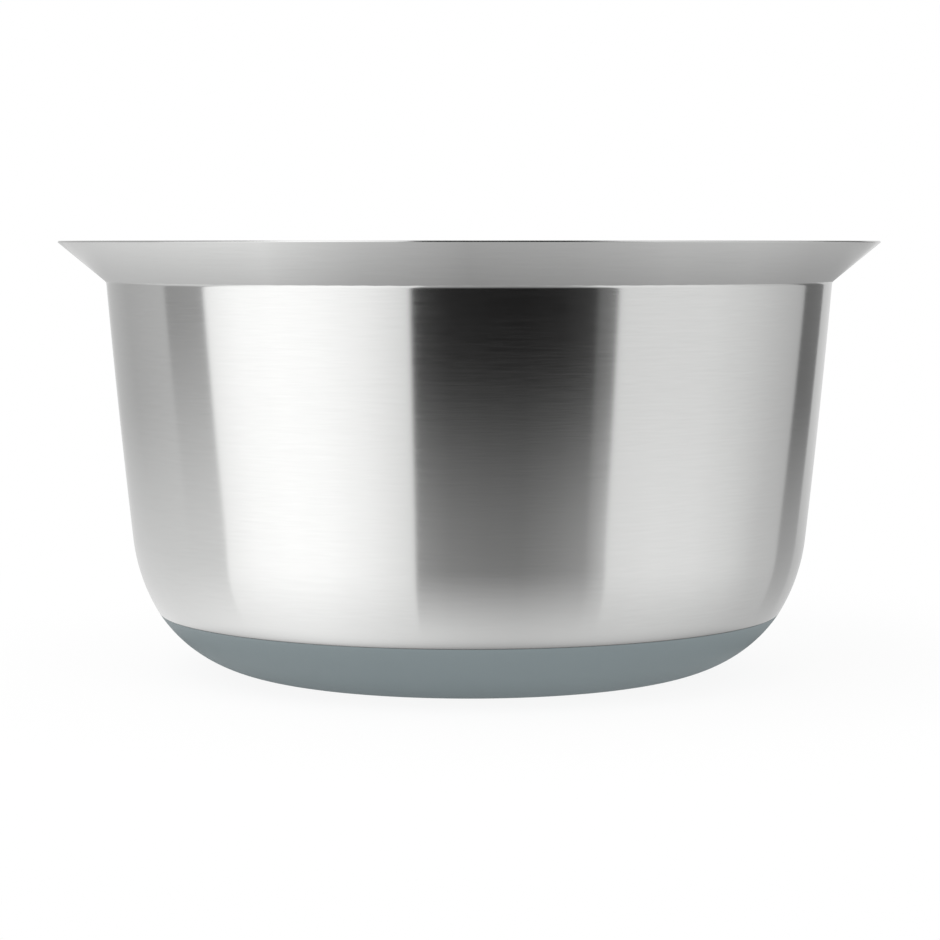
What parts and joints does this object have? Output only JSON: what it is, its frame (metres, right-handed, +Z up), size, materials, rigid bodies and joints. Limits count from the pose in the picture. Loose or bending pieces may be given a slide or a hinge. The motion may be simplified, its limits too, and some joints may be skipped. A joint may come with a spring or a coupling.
{
  "type": "mixing bowl",
  "caption": "Deep round mixing bowl of brushed stainless steel with a wide flared rim, a steep wall and a rounded bottom capped in grey non-slip silicone.",
  "frame": {"origin": "centre of the base's foot, on the surface that the bowl stands on", "axes": "+Z up along the bowl's axis; the bowl is the same from every side, so X and Y are free"},
  "size_m": [0.25, 0.25, 0.1316],
  "materials": {
    "steel": "satin stainless steel, brushed round the axis",
    "adhesive": "cured translucent white adhesive",
    "silicone": "matt blue-grey moulded silicone"
  },
  "bodies": {
    "root": {"bowl_shell": "steel", "adhesive_layer": "adhesive", "nonslip_base": "silicone"}
  },
  "joints": []
}
